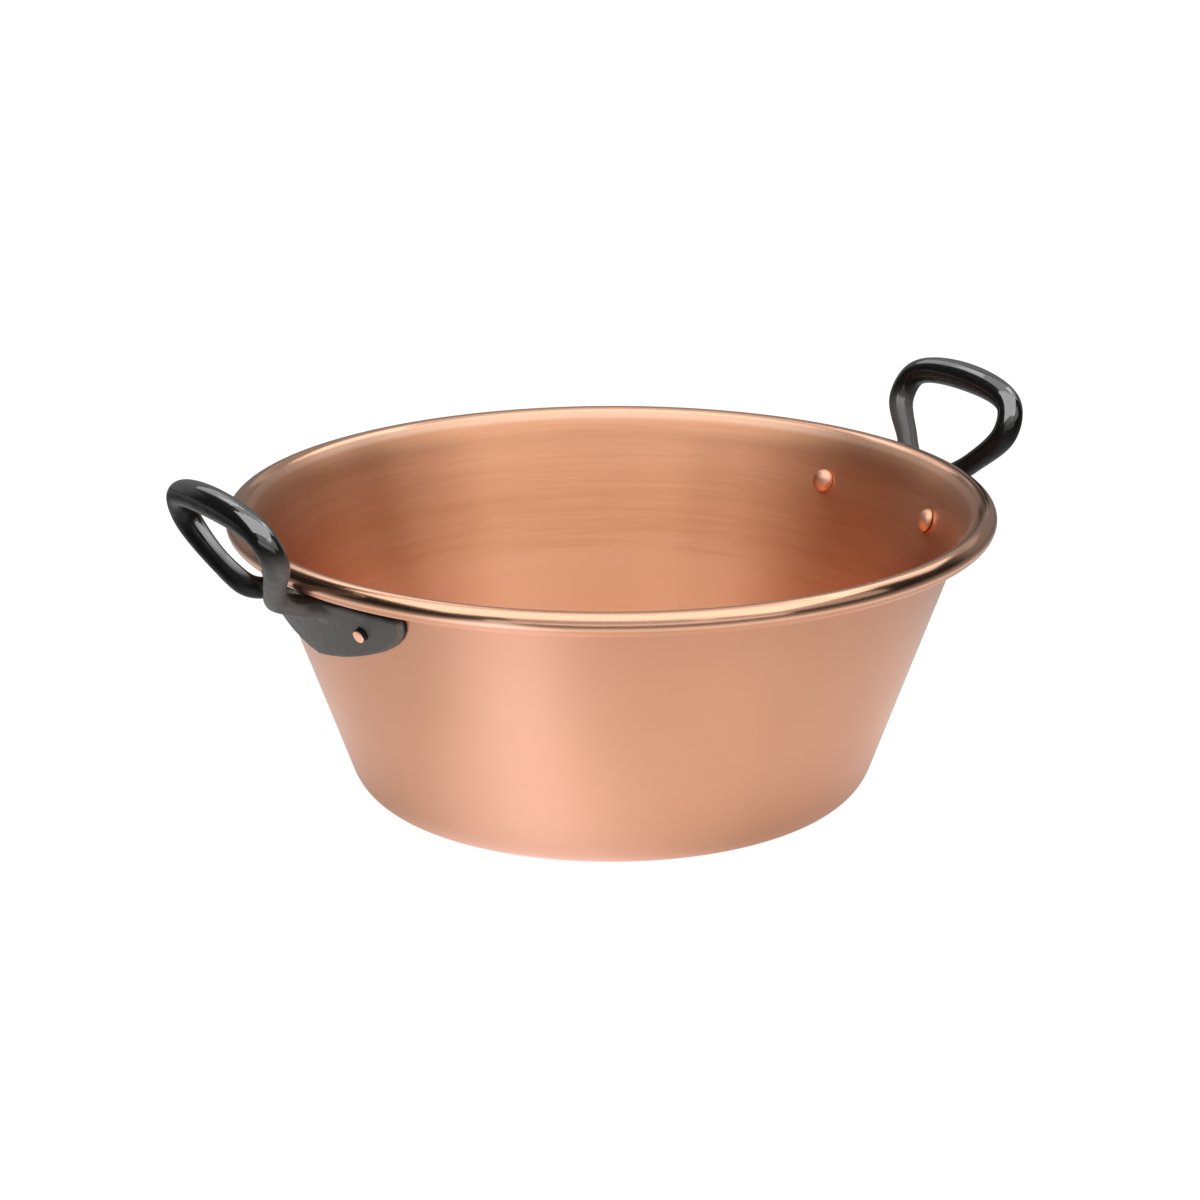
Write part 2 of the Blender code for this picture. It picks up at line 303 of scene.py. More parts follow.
# Sizes that follow from those above
HALF_SHEET = SHEET_THICKNESS / 2
ROLL_CENTRE = Vector((RIM_RADIUS - ROLL_RADIUS, PAN_HEIGHT - ROLL_RADIUS))
WALL_ANGLE = math.atan2(ROLL_CENTRE.x - ROLL_OVERHANG - FOOT_RADIUS, ROLL_CENTRE.y)
STRAP_TOP = PAN_HEIGHT - 2 * ROLL_RADIUS - STRAP_BELOW_ROLL
STRAP_OFFSET = (SEAT_GAP + STRAP_THICKNESS / 2) / math.cos(WALL_ANGLE)
ROOT_LEVEL = STRAP_TOP - LOOP_ROOT_DROP
LOOP_LEVEL = STRAP_TOP - LOOP_DROP
RIVET_LEVEL = STRAP_TOP - RIVET_DROP
RIVET_END = SEAT_GAP + STRAP_THICKNESS + RIVET_STUB


def wall_radius(height):
    """Radius of the wall's outer face at a height above the table."""
    return FOOT_RADIUS + height * math.tan(WALL_ANGLE)


RIVET_AZIMUTH = math.asin((STRAP_LENGTH / 2 - RIVET_INSET) / wall_radius(RIVET_LEVEL))


class Wire:
    """An output socket. Arithmetic on it adds Math nodes to its tree."""

    def __init__(self, tree, socket):
        self.tree = tree
        self.socket = socket

    def of(self, output):
        """Another output of the same node."""
        return Wire(self.tree, self.socket.node.outputs[output])

    def maths(self, operation, first, second):
        return self.tree.node("ShaderNodeMath", {"operation": operation}, {0: first, 1: second})

    def __add__(self, other):
        return self.maths("ADD", self, other)

    def __radd__(self, other):
        return self.maths("ADD", other, self)

    def __sub__(self, other):
        return self.maths("SUBTRACT", self, other)

    def __rsub__(self, other):
        return self.maths("SUBTRACT", other, self)

    def __mul__(self, other):
        return self.maths("MULTIPLY", self, other)

    def __rmul__(self, other):
        return self.maths("MULTIPLY", other, self)

    def __truediv__(self, other):
        return self.maths("DIVIDE", self, other)

    def __pow__(self, other):
        return self.maths("POWER", self, other)


class Tree:
    """Adds nodes to a node tree, of a material, a world or Geometry Nodes."""

    def __init__(self, tree):
        self.tree = tree

    def node(self, kind, settings=(), inputs=(), output=0):
        """A node with its settings and its sockets' values or links. Returns one of its outputs."""
        made = self.tree.nodes.new(kind)
        for name, value in dict(settings).items():
            setattr(made, name, value)
        self.fill(made, inputs)
        return Wire(self, made.outputs[output]) if made.outputs else made

    def fill(self, node, inputs):
        """Sets or links a node's sockets, by their names or numbers."""
        for name, value in dict(inputs).items():
            if isinstance(value, Wire):
                self.tree.links.new(value.socket, node.inputs[name])
            else:
                node.inputs[name].default_value = value

    def greater(self, first, second):
        return self.node("ShaderNodeMath", {"operation": "MAXIMUM"}, {0: first, 1: second})

    def step(self, value, low, high):
        """0 below low, 1 above high, and smooth in between."""
        ends = {"Value": value, "From Min": low, "From Max": high}
        return self.node("ShaderNodeMapRange", {"interpolation_type": "SMOOTHSTEP"}, ends)

    def noise(self, vector, scale, detail, roughness):
        """Noise from 0 to 1, with its mean near a half."""
        sizes = {"Vector": vector, "Scale": scale, "Detail": detail, "Roughness": roughness}
        return self.node("ShaderNodeTexNoise", {}, sizes)

    def vector(self, x, y, z):
        return self.node("ShaderNodeCombineXYZ", {}, {0: x, 1: y, 2: z})

    def split(self, vector):
        """The three parts of a vector."""
        parts = self.node("ShaderNodeSeparateXYZ", {}, {0: vector})
        return parts, parts.of(1), parts.of(2)

    def between(self, share, first, second):
        """The colour that lies a share of the way from the first to the second."""
        sockets = {0: share, 6: rgba(first), 7: rgba(second)}
        return self.node("ShaderNodeMix", {"data_type": "RGBA"}, sockets, output=2)

    def ray_kinds(self):
        """1 for what the camera sees itself, and 1 for what a mirror or a glass shows it."""
        path = self.node("ShaderNodeLightPath", output="Is Camera Ray")
        return path, self.greater(path.of("Is Glossy Ray"), path.of("Is Transmission Ray"))


class Finish(Tree):
    """A Principled material that reads the object's own coordinates."""

    def __init__(self, name):
        self.material = bpy.data.materials.new(name)
        self.material.use_nodes = True
        super().__init__(self.material.node_tree)
        self.shader = self.tree.nodes["Principled BSDF"]
        self.place = self.node("ShaderNodeTexCoord", output="Object")
        self.x, self.y, self.z = self.split(self.place)
        self.radius = (self.x * self.x + self.y * self.y) ** 0.5

    def normal(self):
        """The three parts of the surface's own normal."""
        return self.split(self.node("ShaderNodeNewGeometry", output="Normal"))

    def beyond_wall(self):
        """How far out a point lies from the wall's outer face, measured level."""
        return self.radius - wall_radius(0) - self.z * math.tan(WALL_ANGLE)

    def bump(self, height, depth, below=None):
        """A Normal from a height of 0 to 1, whose full range is a depth in metres."""
        inputs = {"Height": height, "Distance": depth, "Strength": 1.0}
        if below is not None:
            inputs["Normal"] = below
        return self.node("ShaderNodeBump", {}, inputs)

    def done(self, sockets):
        """Sets or links the shader's sockets by their names. Returns the material."""
        self.fill(self.shader, sockets)
        return self.material


def rgba(colour):
    """A colour of three parts with its alpha. A link stays as it is."""
    return colour if isinstance(colour, Wire) else (*colour, 1)


def spun_copper():
    """Satin copper with the rings that spinning leaves, a pale lip, and polished on the roll. Some of
    its colour is painted light and shade: the lip's paleness inside is a painted highlight; the copper
    darkens just below the lip inside and on the lip outside under the roll as painted shade; and it is
    paler towards the bottom inside as painted light. Inside, a band at mid height is also darker.
    """
    finish = Finish("spun_copper")
    radius, height = finish.radius, finish.z
    round_x = finish.x / radius
    round_y = finish.y / radius
    along = height + radius

    def rings(turns, pitch, detail, roughness):
        """Noise drawn out round the axis, in so many lengths of turn and at a pitch across."""
        drawn = finish.vector(round_x * turns, round_y * turns, along / pitch)
        return finish.noise(drawn, 1.0, detail, roughness)

    normal_x, normal_y, upward = finish.normal()
    outward = normal_x * round_x + normal_y * round_y
    inside = finish.step(upward - outward, *INSIDE_FACING)
    polished = finish.step(radius, *POLISH_RADII) * finish.step(height, *POLISH_HEIGHTS)
    satin_inside = inside * (1 - polished)
    satin_outside = (1 - inside) * (1 - polished)
    lip = finish.step(radius, *LIP_RADII)
    band = finish.step(height, *DARK_BAND_FOOT) * (1 - finish.step(height, *DARK_BAND_TOP))
    painted_foot_light = 1 - finish.step(height, *PAINTED_FOOT_LIGHT_HEIGHTS)
    fine = rings(*FINE_RINGS)
    broad = rings(*BROAD_RINGS)
    patches = finish.noise(finish.place, *PATCHES)
    contrast = OUTSIDE_CONTRAST + (1 - OUTSIDE_CONTRAST) * satin_inside

    # Share of the darker copper: rings and patches, with the darker band, the painted light towards the
    # bottom inside and the painted shade on the lip outside added below
    tone = 0.5 + contrast * ((fine - 0.5) * FINE_WEAR + (broad - 0.5))
    tone = tone + (patches - 0.5) * PATCH_WEAR
    # Inside: a band at mid height is darker, and the copper is paler towards the bottom as painted
    # light
    tone = tone + inside * ((band - BAND_MEAN) * BAND_DARKENING - painted_foot_light * PAINTED_FOOT_LIGHT)
    # Darker lip outside, under the roll: painted shade
    tone = tone + lip * satin_outside * LIP_PAINTED_SHADE
    tone = finish.step(tone, 0.0, 1.0)
    rough = SATIN_ROUGHNESS - satin_inside * INSIDE_SMOOTHER - polished * POLISH_SMOOTHER
    rough = rough + contrast * (fine - 0.5) * RING_ROUGHNESS + (patches - 0.5) * PATCH_ROUGHNESS

    outer = finish.between(tone, COPPER, COPPER_WORN_AND_PAINTED_SHADE)
    outer = finish.between(polished, outer, COPPER_RIM)
    inner = finish.between(tone, COPPER_INSIDE, COPPER_INSIDE_WORN)
    # Just below the lip inside, the copper darkens: painted shade
    rim_painted_shade = finish.step(height, *PAINTED_SHADE_HEIGHTS) * PAINTED_SHADE_SHARE
    inner = finish.between(rim_painted_shade, inner, COPPER_PAINTED_SHADE)
    # Pale lip inside: a painted highlight
    inner = finish.between(lip, inner, COPPER_LIP)
    return finish.done({
        "Base Color": finish.between(satin_inside, outer, inner),
        "Metallic": 1.0,
        "Roughness": rough,
        "Anisotropic": 0.9,
        "Anisotropic Rotation": 0.25,
        "Coat Weight": 0.5 * satin_outside,
        "Coat Roughness": 0.4,
        "Normal": finish.bump(fine * contrast, RING_DEPTH),
    })


def rivet_copper():
    """Pale copper, slightly hammered. Painted shade, dark and not metallic, covers the stub's side, but
    not its end.
    """
    finish = Finish("rivet_copper_finish")
    beyond_wall = finish.beyond_wall()
    clean_end = [RIVET_END / math.cos(WALL_ANGLE) - depth for depth in STUB_CLEAN_END]
    # Painted shade: the stub's side turns dark and not metallic
    painted_shade = finish.step(beyond_wall, *STUB_PAINTED_SHADE_START) * (1 - finish.step(beyond_wall, *clean_end))
    dimples = finish.noise(finish.place, *RIVET_DIMPLES)
    tone = finish.noise(finish.place, *FINE_GRAIN)
    copper = finish.between(tone, COPPER_LIP, COPPER)
    return finish.done({
        "Base Color": finish.between(painted_shade, copper, IRON_AND_PAINTED_SHADE),
        "Metallic": 1 - painted_shade,
        "Roughness": RIVET_ROUGHNESS + tone * RIVET_WEAR_ROUGHNESS,
        "Normal": finish.bump(dimples, DIMPLE_DEPTH),
    })


def iron_painted_shade(finish, beyond_wall, upward):
    """Share of painted shade: behind the strap, along its top under the roll, round the loop's feet and
    on the ledge there.
    """
    gap = 1 - finish.step(beyond_wall, *GAP_PAINTED_SHADE)
    top = finish.step(finish.z, *(STRAP_TOP - depth for depth in TOP_PAINTED_SHADE_DEPTHS))
    foot = finish.step(finish.z, ROOT_LEVEL - FOOT_PAINTED_SHADE_DEPTH, ROOT_LEVEL)
    foot = foot * finish.step(beyond_wall, *FOOT_PAINTED_SHADE)
    near_wall = 1 - finish.step(beyond_wall, *PAINTED_SHADE_REACH)
    painted_shade = finish.greater(gap, finish.greater(top, foot * FOOT_PAINTED_SHADE_SHARE) * near_wall)
    ledge = finish.step(upward, *LEDGE_FACING) * (1 - finish.step(beyond_wall, *LEDGE_REACH))
    return finish.greater(painted_shade, ledge)


def black_iron():
    """Cast iron: black and glossy on the loop's handled side, duller below, bare on the strap. Painted
    shade darkens it near the wall, and bare faces turned along the wall are paler as a painted
    highlight.

    The skin is also worn off one leg of each loop, on the side where X and Y have the same sign.
    """
    finish = Finish("black_cast_iron")
    beyond_wall = finish.beyond_wall()
    normal_x, normal_y, upward = finish.normal()
    # Painted shade: dark iron without the coat near the wall, under the roll and round the loop's feet
    painted_shade = iron_painted_shade(finish, beyond_wall, upward)
    skin = finish.noise(finish.place, *FINE_GRAIN)
    worn_leg = finish.step(finish.x * finish.y, *WORN_LEG_SIDE)
    worn_leg = worn_leg * (1 - finish.step(finish.z, *WORN_LEG_HEIGHTS)) * WORN_LEG_SHARE
    bare = finish.greater(1 - finish.step(beyond_wall, *BARE_REACH), worn_leg)
    bare = bare * (1 - painted_shade * (PAINTED_SHADE_COVER + skin * (1 - PAINTED_SHADE_COVER)))
    # Bare faces turned along the wall, such as the strap's ends, are paler: a painted highlight
    sideways = (normal_y * finish.x - normal_x * finish.y) / finish.radius
    painted_end_light = finish.step(sideways * sideways, *SIDE_FACING)
    paler = BARE_SHARE + skin * BARE_GRAIN_SHARE + painted_end_light * END_PAINTED_LIGHT_SHARE
    raised = upward + (finish.z - HANDLED_HEIGHT) * HANDLED_RISE
    handled = finish.step(raised, *HANDLED_FACING)
    cells = {"Vector": finish.place, "Scale": PIT_SCALE, "Randomness": 1}
    pitted = finish.step(finish.node("ShaderNodeTexVoronoi", {}, cells), *PIT_EDGE)
    relief = finish.bump(pitted, PIT_DEPTH)
    relief = finish.bump(finish.noise(finish.place, *LUMPS), LUMP_DEPTH, relief)
    relief = finish.bump(skin, GRAIN_DEPTH, relief)
    return finish.done({
        "Base Color": finish.between(bare * paler, IRON_AND_PAINTED_SHADE, IRON_BARE),
        "Specular IOR Level": 0.2,
        "Roughness": IRON_ROUGHNESS + bare * BARE_ROUGHNESS + (skin - 0.5) * GRAIN_ROUGHNESS,
        "Coat Weight": handled * (1 - bare) * (1 - painted_shade),
        "Coat Roughness": 0.08,
        "Coat IOR": 2.7,
        "Normal": relief,
    })


def arc(centre, radius, start, end, steps):
    """Points on a circle's arc in the profile's plane, ends included."""
    turns = [start + (end - start) * i / steps for i in range(steps + 1)]
    return [centre + radius * Vector((math.cos(a), math.sin(a))) for a in turns]


def sheet_line():
    """Middle line of the sheet, from the roll's free edge to the centre of the base."""
    roll = ROLL_RADIUS - HALF_SHEET
    along_wall = math.pi - WALL_ANGLE
    to_wall = ROLL_OVERHANG * math.cos(WALL_ANGLE) + HALF_SHEET
    roll_start = along_wall - math.acos((FLARE_RADIUS - to_wall) / (FLARE_RADIUS - roll))
    reach = FLARE_RADIUS - roll
    flare_centre = ROLL_CENTRE - reach * Vector((math.cos(roll_start), math.sin(roll_start)))
    corner_x = wall_radius(BASE_CORNER_RADIUS) - BASE_CORNER_RADIUS / math.cos(WALL_ANGLE)
    corner_centre = Vector((corner_x, BASE_CORNER_RADIUS))
    points = arc(ROLL_CENTRE, roll, ROLL_END_ANGLE, roll_start, ROLL_STEPS)
    points += arc(flare_centre, FLARE_RADIUS, roll_start, along_wall, FLARE_STEPS)[1:]
    corner = BASE_CORNER_RADIUS - HALF_SHEET
    lower = arc(corner_centre, corner, -WALL_ANGLE, -math.pi / 2, CORNER_STEPS)
    top, bottom = points[-1], lower[0]
    for height in (RIVET_LEVEL + HOLE_BAND, RIVET_LEVEL - HOLE_BAND, MID_WALL_HEIGHT):
        points.append(top.lerp(bottom, (top.y - height) / (top.y - bottom.y)))
    points += lower
    points += [Vector((lower[-1].x * share, HALF_SHEET)) for share in BASE_RINGS]
    return points + [Vector((0, HALF_SHEET))]


def sheet_section():
    """Closed outline of the sheet's section, from the axis out to the roll's free edge and back."""
    line = sheet_line()
    outer, inner = [], []
    for i, point in enumerate(line):
        before = (point - line[i - 1]).normalized() if i else Vector((0, 0))
        after = (line[i + 1] - point).normalized() if i + 1 < len(line) else Vector((-1, 0))
        along = (before + after).normalized()
        across = Vector((-along.y, along.x)) * HALF_SHEET
        outer.append(point + across)
        inner.append(point - across)
    edge = (line[0] - line[1]).normalized() * HALF_SHEET
    outer[-1].x = inner[-1].x = 0
    return inner[::-1] + [line[0] + edge] + outer


def new_group(name, inputs):
    """A new tree of Geometry Nodes with named inputs, and the node that gives them."""
    group = bpy.data.node_groups.new(name, "GeometryNodeTree")
    for title, kind in inputs.items():
        group.interface.new_socket(title, in_out="INPUT", socket_type=f"NodeSocket{kind}")
    tree = Tree(group)
    return tree, tree.node("NodeGroupInput")


def end_group(tree, name, geometry, material):
    """Ends a tree with real geometry in its material, as its one output. Returns its group."""
    tree.tree.interface.new_socket(name, in_out="OUTPUT", socket_type="NodeSocketGeometry")
    solid = tree.node("GeometryNodeRealizeInstances", {}, {"Geometry": geometry})
    solid = tree.node("GeometryNodeSetMaterial", {}, {"Geometry": solid, "Material": material})
    tree.node("NodeGroupOutput", {}, {name: solid})
    return tree.tree


def turned_group():
    """Geometry Nodes that turn a section, a line of radius and height in XY, about the Z axis."""
    inputs = {"Section": "Geometry", "Steps": "Int", "Merge Distance": "Float", "Material": "Material"}
    tree, given = new_group("turned_section", inputs)
    section = tree.node("GeometryNodeMeshToCurve", {}, {"Mesh": given})
    circle = {"Resolution": given.of("Steps"), "Radius": 1.0}
    way = tree.node("GeometryNodeCurvePrimitiveCircle", {}, circle)
    way = tree.node("GeometryNodeSetCurveNormal", {"mode": "Z_UP"}, {"Curve": way})
    swept = tree.node("GeometryNodeCurveToMesh", {}, {"Curve": way, "Profile Curve": section})
    joined = {"Geometry": swept, "Distance": given.of("Merge Distance")}
    swept = tree.node("GeometryNodeMergeByDistance", {}, joined)
    return end_group(tree, "Turned", swept, given.of("Material"))


def rivet_group(turning):
    """Geometry Nodes that turn a rivet's section and set a rivet at each place, along its normal."""
    inputs = {
        "Section": "Geometry",
        "Places": "Object",
        "Steps": "Int",
        "Hand Set Dents": "Float",
        "Seed": "Int",
        "Material": "Material",
    }
    tree, given = new_group("riveted_places", inputs)
    material = given.of("Material")
    sizes = {"Section": given, "Steps": given.of("Steps"), "Merge Distance": MERGE_DISTANCE}
    rivet = tree.node("GeometryNodeGroup", {"node_tree": turning}, {**sizes, "Material": material})
    source = {"Object": given.of("Places")}
    places = tree.node("GeometryNodeObjectInfo", {}, source, output="Geometry")
    vector = {"data_type": "FLOAT_VECTOR"}
    outward = tree.node("GeometryNodeInputNamedAttribute", vector, {"Name": "outward"})
    aligned = tree.node("FunctionNodeAlignRotationToVector", {"axis": "Z"}, {"Vector": outward})
    turns = {2: -math.pi, 3: math.pi, "Seed": given.of("Seed")}
    spin = tree.node("FunctionNodeRandomValue", {"data_type": "FLOAT"}, turns, output=1)
    spun = tree.node("FunctionNodeAxisAngleToRotation", {}, {"Axis": (0, 0, 1), "Angle": spin})
    both = {"Rotation": aligned, "Rotate By": spun}
    turn = tree.node("FunctionNodeRotateRotation", {"rotation_space": "LOCAL"}, both)
    spread = {"Points": places, "Instance": rivet, "Rotation": turn}
    placed = tree.node("GeometryNodeInstanceOnPoints", {}, spread)
    solid = tree.node("GeometryNodeRealizeInstances", {}, {"Geometry": placed})
    grain = {"Scale": RIVET_DENT_SCALE, "Detail": 1.0}
    dent = tree.node("ShaderNodeTexNoise", {}, grain, output="Color")
    middle = {0: dent, 1: (0.5, 0.5, 0.5)}
    centred = tree.node("ShaderNodeVectorMath", {"operation": "SUBTRACT"}, middle)
    depth = {0: centred, "Scale": given.of("Hand Set Dents")}
    moved = tree.node("ShaderNodeVectorMath", {"operation": "SCALE"}, depth)
    solid = tree.node("GeometryNodeSetPosition", {}, {"Geometry": solid, "Offset": moved})
    return end_group(tree, "Rivets", solid, material)


def bar_group():
    """Geometry Nodes that draw a bar along a path, whose own attribute gives the diameters."""
    inputs = {"Path": "Geometry", "Sides": "Int", "Material": "Material"}
    tree, given = new_group("cast_bar", inputs)
    thick = tree.node("GeometryNodeInputNamedAttribute", {"data_type": "FLOAT"}, {"Name": "thick"})
    path = tree.node("GeometryNodeMeshToCurve", {}, {"Mesh": given})
    path = tree.node("GeometryNodeSetCurveNormal", {"mode": "MINIMUM_TWIST"}, {"Curve": path})
    circle = {"Resolution": given.of("Sides"), "Radius": 0.5}
    ring = tree.node("GeometryNodeCurvePrimitiveCircle", {}, circle)
    drawn = {"Curve": path, "Profile Curve": ring, "Scale": thick, "Fill Caps": True}
    bar = tree.node("GeometryNodeCurveToMesh", {}, drawn)
    joined = {"Geometry": bar, "Distance": MERGE_DISTANCE}
    bar = tree.node("GeometryNodeMergeByDistance", {}, joined)
    return end_group(tree, "Bar", bar, given.of("Material"))


def linked(name, data):
    """An object in the scene for a mesh, a light or a camera."""
    made = bpy.data.objects.new(name, data)
    bpy.context.scene.collection.objects.link(made)
    return made


def line_mesh(name, points):
    """A mesh of edges through points."""
    mesh = bpy.data.meshes.new(name)
    mesh.from_pydata([tuple(p) for p in points], [(i, i + 1) for i in range(len(points) - 1)], [])
    return mesh


def mesh_from(work, name):
    """A new mesh from a bmesh, which is freed."""
    mesh = bpy.data.meshes.new(name)
    work.to_mesh(mesh)
    work.free()
    return mesh


def baked(thing):
    """A new mesh of the object with its modifiers applied. The object goes."""
    bpy.context.view_layer.update()
    graph = bpy.context.evaluated_depsgraph_get()
    mesh = bpy.data.meshes.new_from_object(thing.evaluated_get(graph))
    bpy.data.objects.remove(thing)
    return mesh


def grown(name, base, group, **inputs):
    """A plain mesh from Geometry Nodes on a base mesh, its inputs named with _ for a space."""
    thing = linked(name, base)
    nodes = thing.modifiers.new("Grown", "NODES")
    nodes.node_group = group
    wanted = {key.replace("_", " ").title(): value for key, value in inputs.items()}
    for item in group.interface.items_tree:
        if item.in_out == "INPUT" and item.name in wanted:
            nodes[item.identifier] = wanted[item.name]
    return baked(thing)


def facing_out(mesh):
    """Welds a closed mesh and points its faces outwards."""
    work = bmesh.new()
    work.from_mesh(mesh)
    bmesh.ops.remove_doubles(work, verts=work.verts, dist=MERGE_DISTANCE)
    bmesh.ops.recalc_face_normals(work, faces=work.faces)
    work.to_mesh(mesh)
    work.free()
    return mesh


def smooth(mesh, degrees):
    """Shades a mesh smooth, with sharp edges where its faces turn by more than an angle."""
    mesh.shade_smooth()
    mesh.set_sharp_from_angle(angle=math.radians(degrees))


def with_modifier(mesh, kind, **settings):
    """The mesh after one modifier."""
    thing = linked("shaping", mesh)
    modifier = thing.modifiers.new("Shaping", kind)
    for name, value in settings.items():
        setattr(modifier, name, value)
    return baked(thing)


def cut(mesh, other, operation):
    """A Boolean of the mesh with another mesh."""
    tool = linked("tool", other)
    made = with_modifier(mesh, "BOOLEAN", operation=operation, solver="EXACT", object=tool)
    bpy.data.objects.remove(tool)
    return made


def finished(name, mesh, finish, slot, *nodes):
    """Makes a piece of the object from a mesh that stands for CAD nodes."""
    mesh.materials.clear()
    mesh.materials.append(finish)
    piece = linked(name, mesh)
    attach(piece, "root")
    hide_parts(*nodes)


def rivet_places():
    """Place on the wall and outward normal of each rivet."""
    places = []
    for side in (0, math.pi):
        for sign in (-1, 1):
            azimuth = side + sign * RIVET_AZIMUTH
            outward = Vector((math.cos(azimuth), math.sin(azimuth), 0))
            normal = outward * math.cos(WALL_ANGLE) - Vector((0, 0, math.sin(WALL_ANGLE)))
            seat = outward * wall_radius(RIVET_LEVEL) + Vector((0, 0, RIVET_LEVEL))
            places.append((seat, normal))
    return places


def rivet_holes():
    """One straight cutter for each rivet."""
    work = bmesh.new()
    for seat, normal in rivet_places():
        turn = normal.to_track_quat("Z", "Y").to_matrix().to_4x4()
        bmesh.ops.create_cone(
            work,
            cap_ends=True,
            segments=RIVET_STEPS,
            radius1=SHANK_RADIUS + HOLE_CLEARANCE,
            radius2=SHANK_RADIUS + HOLE_CLEARANCE,
            depth=HOLE_LENGTH,
            matrix=Matrix.Translation(seat) @ turn,
        )
    return mesh_from(work, "rivet_holes")


def rivet_section():
    """Radius and height of a rivet's outline, from its outer end to the middle of its domed head."""
    hollow = RIVET_HEAD_RADIUS**2 / (2 * wall_radius(RIVET_LEVEL))
    under = -SHEET_THICKNESS - SEAT_GAP - hollow
    points = [Vector((0, RIVET_END)), Vector((SHANK_RADIUS - RIVET_CHAMFER, RIVET_END))]
    chamfer_centre = points[1] - Vector((0, RIVET_CHAMFER))
    points += arc(chamfer_centre, RIVET_CHAMFER, math.pi / 2, 0, CHAMFER_STEPS)[1:]
    points.append(Vector((SHANK_RADIUS, under)))
    points.append(Vector((RIVET_HEAD_RADIUS - RIVET_HEAD_EDGE_INSET, under)))
    for i in range(HEAD_STEPS + 1):
        rise = math.pi / 2 * i / HEAD_STEPS
        side = RIVET_HEAD_RADIUS * math.cos(rise)
        lower = under - RIVET_HEAD_EDGE_HEIGHT - RIVET_HEAD_HEIGHT * math.sin(rise)
        points.append(Vector((side, lower)))
    points[-1].x = 0
    return points


def turned_points(section):
    """A section of radius and height as the nodes want it, which sweep it round a circle of 1."""
    return [(p.x - 1, -p.y, 0) for p in section]


def make_pan(turning, holes):
    """The spun bowl with its flared wall and its rolled rim, which stays open underneath."""
    copper = spun_copper()
    section = line_mesh("pan_section", turned_points(sheet_section()))
    sizes = {"steps": PAN_STEPS, "merge_distance": MERGE_DISTANCE, "material": copper}
    bowl = facing_out(grown("pan", section, turning, **sizes))
    mesh = cut(bowl, holes.copy(), "DIFFERENCE")
    smooth(mesh, degrees=35)
    finished("spun_pan", mesh, copper, "copper_sheet", "pan_body")


def make_rivets(turning):
    """The four rivets, each with its domed head inside the pan and its stub outside."""
    places = rivet_places()
    spots = bpy.data.meshes.new("rivet_places")
    spots.from_pydata([tuple(seat) for seat, _ in places], [], [])
    outward = spots.attributes.new("outward", "FLOAT_VECTOR", "POINT")
    outward.data.foreach_set("vector", [part for _, normal in places for part in normal])
    marks = linked("rivet_places", spots)
    copper = rivet_copper()
    mesh = grown(
        "rivet_pattern",
        line_mesh("rivet_section", turned_points(rivet_section())),
        rivet_group(turning),
        places=marks,
        steps=RIVET_STEPS,
        hand_set_dents=RIVET_DENTS,
        seed=RIVET_SEED,
        material=copper,
    )
    bpy.data.objects.remove(marks)
    smooth(facing_out(mesh), degrees=50)
    names = [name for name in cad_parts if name.startswith("rivet")]
    finished("rivets", mesh, copper, "rivet_copper", *names)


def strap_plate():
    """The strap as a plate of even thickness that follows the wall, cut to its outline."""
    top = STRAP_TOP + STRAP_THICKNESS
    bottom = STRAP_TOP - STRAP_DEPTH - STRAP_THICKNESS
    half_sector = math.asin(STRAP_LENGTH / 2 / wall_radius(bottom)) + STRAP_SPARE_ANGLE
    levels = [top + (bottom - top) * i / STRAP_ROWS for i in range(STRAP_ROWS + 1)]
    sheet = bmesh.new()
    grid = []
    for i in range(STRAP_STEPS + 1):
        azimuth = half_sector * (2 * i / STRAP_STEPS - 1)
        column = []
        for level in levels:
            radius = wall_radius(level) + STRAP_OFFSET
            place = (radius * math.cos(azimuth), radius * math.sin(azimuth), level)
            column.append(sheet.verts.new(place))
        grid.append(column)
    for left, right in zip(grid, grid[1:]):
        for j in range(STRAP_ROWS):
            sheet.faces.new((left[j], left[j + 1], right[j + 1], right[j]))
    sizes = {"thickness": STRAP_THICKNESS, "offset": 0, "use_even_offset": True}
    plate = with_modifier(mesh_from(sheet, "strap"), "SOLIDIFY", **sizes)
    return cut(facing_out(plate), outline_prism(), "INTERSECT")


def outline_prism():
    """The strap's outline, a level top and a belly that curves up to the tips, as a prism along X."""
    half = STRAP_LENGTH / 2
    lower = []
    for i in range(OUTLINE_POINTS + 1):
        share = math.sin(math.pi / 2 * i / OUTLINE_POINTS)
        depth = STRAP_DEPTH * (1 - share**STRAP_BELLY_POWER) ** STRAP_TIP_POWER
        lower.append((half * share, STRAP_TOP - depth - STRAP_ROUNDING_LOSS * (1 - share)))
    outline = [(-y, z) for y, z in reversed(lower)] + lower[1:]
    work = bmesh.new()
    face = work.faces.new([work.verts.new((PRISM_START, y, z)) for y, z in outline])
    far_end = bmesh.ops.extrude_face_region(work, geom=[face])["geom"]
    moved = [v for v in far_end if isinstance(v, bmesh.types.BMVert)]
    bmesh.ops.translate(work, verts=moved, vec=(PRISM_LENGTH, 0, 0))
    bmesh.ops.recalc_face_normals(work, faces=work.faces)
    return mesh_from(work, "outline_prism")


def loop_plane_point(spread, height):
    """A point of the loop's leaning plane, by its distance from the middle and along the plane."""
    roll_height = (ROLL_CENTRE.y - LOOP_LEVEL) / math.cos(LOOP_LEAN)
    roll_radius = RIM_RADIUS + LOOP_ROLL_GAP + LEG_DIAMETER / 2
    outward = roll_radius + (height - roll_height) * math.sin(LOOP_LEAN)
    return Vector((outward, spread, LOOP_LEVEL + height * math.cos(LOOP_LEAN)))


